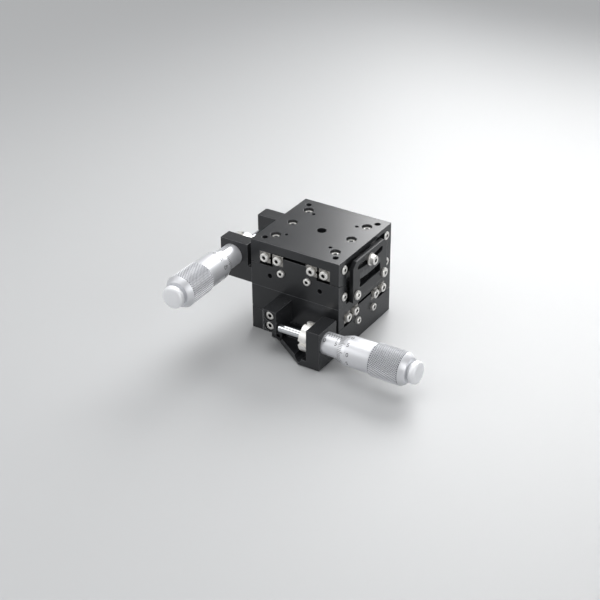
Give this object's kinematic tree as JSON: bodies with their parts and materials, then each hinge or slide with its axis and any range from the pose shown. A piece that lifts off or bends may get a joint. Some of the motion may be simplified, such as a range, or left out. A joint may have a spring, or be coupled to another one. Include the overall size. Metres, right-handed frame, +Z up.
{
  "type": "two-axis goniometer stage",
  "caption": "Compact two-axis goniometer stage with stacked curved-rail tilt units, micrometer drives, clamp plates and a drilled top plate.",
  "frame": {"origin": "centre of the lower base's bottom face", "axes": "+Z up to the top plate; the upper unit swings about +X, with its micrometer off the -X side pointing to -Y; the lower unit swings about +Y, with its micrometer off the -Y side pointing to +X"},
  "size_m": [0.096, 0.085, 0.04],
  "materials": {
    "black_anodised": "satin black anodising over milled aluminium",
    "hardened_rail_steel": "ground and darkened hardened steel",
    "bearing_steel": "ground bearing steel",
    "cage_brass": "punched strip",
    "spring_steel": "drawn spring wire",
    "satin_chrome": "satin chrome plate over steel",
    "nickel_plate": "bright nickel plate over steel",
    "black_oxide_steel": "black oxide steel"
  },
  "bodies": {
    "base": {"lower_base": "black_anodised", "lower_inner_rails": "hardened_rail_steel", "lower_inner_rail_screws": "nickel_plate", "lower_inner_rail_end_screws": "nickel_plate", "lower_stop_screws": "nickel_plate", "lower_base_side_screws": "nickel_plate", "lower_micrometer_holder": "black_anodised", "lower_holder_screws": "black_oxide_steel", "lower_micrometer_sleeve": "satin_chrome", "lower_lock_nut": "nickel_plate", "lower_clamp_plate": "black_anodised", "lower_clamp_plate_screws": "nickel_plate", "lower_spring_pin_base": "bearing_steel", "lower_return_spring": "spring_steel"},
    "carriage": {"lower_carriage": "black_anodised", "lower_outer_rails": "hardened_rail_steel", "lower_outer_rail_screws": "nickel_plate", "lower_outer_rail_end_screws": "nickel_plate", "lower_stage_side_screws": "nickel_plate", "lower_contact_block": "black_anodised", "lower_contact_block_screws": "nickel_plate", "lower_spring_pin_stage": "bearing_steel", "lower_unit_joining_screws": "black_oxide_steel", "upper_base": "black_anodised", "upper_inner_rails": "hardened_rail_steel", "upper_inner_rail_screws": "nickel_plate", "upper_inner_rail_end_screws": "nickel_plate", "upper_stop_screws": "nickel_plate", "upper_base_side_screws": "nickel_plate", "upper_micrometer_holder": "black_anodised", "upper_holder_screws": "black_oxide_steel", "upper_micrometer_sleeve": "satin_chrome", "upper_lock_nut": "nickel_plate", "upper_clamp_plate": "black_anodised", "upper_clamp_plate_screws": "nickel_plate", "upper_spring_pin_base": "bearing_steel", "upper_return_spring": "spring_steel"},
    "stage": {"upper_stage_plate": "black_anodised", "upper_outer_rails": "hardened_rail_steel", "upper_outer_rail_screws": "nickel_plate", "upper_outer_rail_end_screws": "nickel_plate", "upper_stage_side_screws": "nickel_plate", "upper_contact_block": "black_anodised", "upper_contact_block_screws": "nickel_plate", "upper_spring_pin_stage": "bearing_steel"},
    "lower_cages": {"lower_roller_cages": "cage_brass", "lower_crossed_rollers": "bearing_steel"},
    "lower_spindle": {"lower_spindle": "bearing_steel"},
    "lower_thimble": {"lower_thimble": "satin_chrome"},
    "lower_knob": {"lower_ratchet_knob": "satin_chrome"},
    "lower_washer": {"lower_clamp_washer": "nickel_plate"},
    "lower_clamp": {"lower_clamp_screw": "nickel_plate"},
    "upper_cages": {"upper_roller_cages": "cage_brass", "upper_crossed_rollers": "bearing_steel"},
    "upper_spindle": {"upper_spindle": "bearing_steel"},
    "upper_thimble": {"upper_thimble": "satin_chrome"},
    "upper_knob": {"upper_ratchet_knob": "satin_chrome"},
    "upper_washer": {"upper_clamp_washer": "nickel_plate"},
    "upper_clamp": {"upper_clamp_screw": "nickel_plate"}
  },
  "joints": [
    {"name": "lower_tilt", "type": "hinge", "parent": "base", "child": "carriage", "pos_m": [0, 0, 0.09], "axis": [0, 1, 0], "range_deg": [-5, 5], "deforming": ["lower_return_spring"]},
    {"name": "lower_cage_travel", "type": "hinge", "parent": "base", "child": "lower_cages", "pos_m": [0, 0, 0.09], "axis": [0, 1, 0], "range_deg": [-2.5, 2.5]},
    {"name": "lower_spindle_slide", "type": "slide", "parent": "base", "child": "lower_spindle", "axis": [-1, 0, 0], "range_m": [-0.00695, 0.00695]},
    {"name": "lower_thimble_turn", "type": "hinge", "parent": "lower_spindle", "child": "lower_thimble", "pos_m": [0, -0.029, 0.0104], "axis": [-1, 0, 0], "range_deg": [-5003, 5003]},
    {"name": "lower_knob_spin", "type": "hinge", "parent": "lower_thimble", "child": "lower_knob", "pos_m": [0, -0.029, 0.0104], "axis": [-1, 0, 0], "continuous": true},
    {"name": "lower_washer_slide", "type": "slide", "parent": "carriage", "child": "lower_washer", "axis": [0, 1, 0], "range_m": [0, 0.0003998]},
    {"name": "lower_clamp_turn", "type": "hinge", "parent": "lower_washer", "child": "lower_clamp", "pos_m": [0, 0.0222, 0.0138], "axis": [0, 1, 0], "range_deg": [0, 359.9]},
    {"name": "upper_tilt", "type": "hinge", "parent": "carriage", "child": "stage", "pos_m": [0, 0, 0.09], "axis": [1, 0, 0], "range_deg": [-5, 5], "deforming": ["upper_return_spring"]},
    {"name": "upper_cage_travel", "type": "hinge", "parent": "carriage", "child": "upper_cages", "pos_m": [0, 0, 0.09], "axis": [1, 0, 0], "range_deg": [-2.5, 2.5]},
    {"name": "upper_spindle_slide", "type": "slide", "parent": "carriage", "child": "upper_spindle", "axis": [0, 1, 0], "range_m": [-0.0052, 0.0052]},
    {"name": "upper_thimble_turn", "type": "hinge", "parent": "upper_spindle", "child": "upper_thimble", "pos_m": [-0.029, 0, 0.0304], "axis": [0, 1, 0], "range_deg": [-3746, 3746]},
    {"name": "upper_knob_spin", "type": "hinge", "parent": "upper_thimble", "child": "upper_knob", "pos_m": [-0.029, 0, 0.0304], "axis": [0, 1, 0], "continuous": true},
    {"name": "upper_washer_slide", "type": "slide", "parent": "stage", "child": "upper_washer", "axis": [1, 0, 0], "range_m": [0, 0.0003998]},
    {"name": "upper_clamp_turn", "type": "hinge", "parent": "upper_washer", "child": "upper_clamp", "pos_m": [0.0222, 0, 0.0338], "axis": [1, 0, 0], "range_deg": [0, 359.9]}
  ],
  "couplings": [
    {"joint": "lower_spindle_slide", "follows": "lower_tilt", "m_per_rad": 0.0796},
    {"joint": "lower_thimble_turn", "follows": "lower_tilt", "ratio": 1000.3},
    {"joint": "lower_cage_travel", "follows": "lower_tilt", "ratio": 0.5},
    {"joint": "lower_clamp_turn", "follows": "lower_washer_slide", "rad_per_m": 15708},
    {"joint": "upper_spindle_slide", "follows": "upper_tilt", "m_per_rad": 0.0596},
    {"joint": "upper_thimble_turn", "follows": "upper_tilt", "ratio": 748.96},
    {"joint": "upper_cage_travel", "follows": "upper_tilt", "ratio": 0.5},
    {"joint": "upper_clamp_turn", "follows": "upper_washer_slide", "rad_per_m": 15708}
  ]
}
